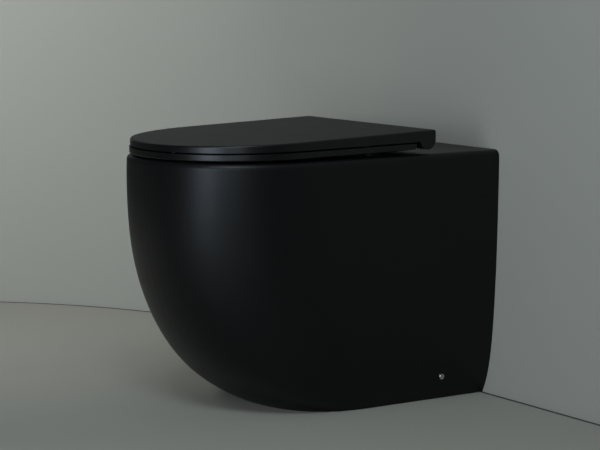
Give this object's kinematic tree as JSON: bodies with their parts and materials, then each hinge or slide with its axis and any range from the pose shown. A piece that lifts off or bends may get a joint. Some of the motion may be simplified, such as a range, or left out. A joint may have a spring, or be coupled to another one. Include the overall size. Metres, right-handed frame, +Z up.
{
  "type": "back to wall toilet",
  "caption": "Matt black back to wall toilet: egg shaped skirted pan with flat deck, slim wedge seat and lid on quick release soft closing hinges, small bright side fixing caps.",
  "frame": {"origin": "on the floor, in the middle of the pan's width and of its length from the wall face to the front", "axes": "+Z up, +Y towards the wall, +X to the right seen from the front"},
  "size_m": [0.3668, 0.5457, 0.4372],
  "materials": {
    "matt_black_glaze": "matt black glaze, satin sheen",
    "matt_black_seat": "matt black thermoset, fine even surface",
    "rubber": "soft black rubber",
    "chrome": "bright plated",
    "steel": "plain stainless steel",
    "galvanised_steel": "zinc coated sheet",
    "white_plastic": "natural moulded nylon",
    "dark_plastic": "dark grey moulded plastic"
  },
  "bodies": {
    "pan": {"pan_skirt": "matt_black_glaze", "pan_rim": "matt_black_glaze", "pan_bowl": "matt_black_glaze", "pan_trapway": "matt_black_glaze", "pan_outlet": "matt_black_glaze", "pan_inlet": "matt_black_glaze", "hinge_gasket_left": "rubber", "hinge_base_disc_left": "chrome", "hinge_stud_left": "chrome", "stud_washer_left": "rubber", "wing_nut_left": "white_plastic", "side_cap_left": "chrome", "side_screw_left": "steel", "side_screw_bush_left": "white_plastic", "floor_bracket_left": "galvanised_steel", "bracket_nut_left": "steel", "hinge_gasket_right": "rubber", "hinge_base_disc_right": "chrome", "hinge_stud_right": "chrome", "stud_washer_right": "rubber", "wing_nut_right": "white_plastic", "side_cap_right": "chrome", "side_screw_right": "steel", "side_screw_bush_right": "white_plastic", "floor_bracket_right": "galvanised_steel", "bracket_nut_right": "steel", "inlet_seal": "rubber"},
    "hinge_blocks": {"hinge_block_left": "chrome", "hinge_block_right": "chrome", "release_clip_left": "steel", "release_clip_right": "steel", "lid_pin": "steel", "seat_pin": "steel", "lid_damper_shaft": "steel", "seat_damper_shaft": "steel"},
    "seat": {"seat": "matt_black_seat", "seat_buffer_front_left": "rubber", "seat_buffer_rear_left": "rubber", "seat_buffer_front_right": "rubber", "seat_buffer_rear_right": "rubber", "seat_damper": "dark_plastic", "seat_bush": "white_plastic"},
    "lid": {"lid": "matt_black_seat", "lid_buffer_front_left": "rubber", "lid_buffer_rear_left": "rubber", "lid_buffer_front_right": "rubber", "lid_buffer_rear_right": "rubber", "lid_damper": "dark_plastic", "lid_bush": "white_plastic"},
    "left_release_button": {"release_button_left": "chrome"},
    "right_release_button": {"release_button_right": "chrome"}
  },
  "joints": [
    {"name": "seat_lift_off", "type": "slide", "parent": "pan", "child": "hinge_blocks", "axis": [0, 0, 1], "range_m": [0, 0.012], "deforming": ["release_clip_left", "release_clip_right"]},
    {"name": "seat_hinge", "type": "hinge", "parent": "hinge_blocks", "child": "seat", "pos_m": [0, 0.1348, 0.4211], "axis": [-1, 0, 0], "range_deg": [0, 95]},
    {"name": "lid_hinge", "type": "hinge", "parent": "seat", "child": "lid", "pos_m": [0, 0.1348, 0.4211], "axis": [1, 0, 0], "range_deg": [-100, 0]},
    {"name": "left_release", "type": "slide", "parent": "hinge_blocks", "child": "left_release_button", "axis": [0, 1, 0], "range_m": [0, 0.0015], "stiffness_N_per_m": 600, "springref_m": -0.001, "deforming": ["release_clip_left"]},
    {"name": "right_release", "type": "slide", "parent": "hinge_blocks", "child": "right_release_button", "axis": [0, 1, 0], "range_m": [0, 0.0015], "stiffness_N_per_m": 600, "springref_m": -0.001, "deforming": ["release_clip_right"]}
  ]
}
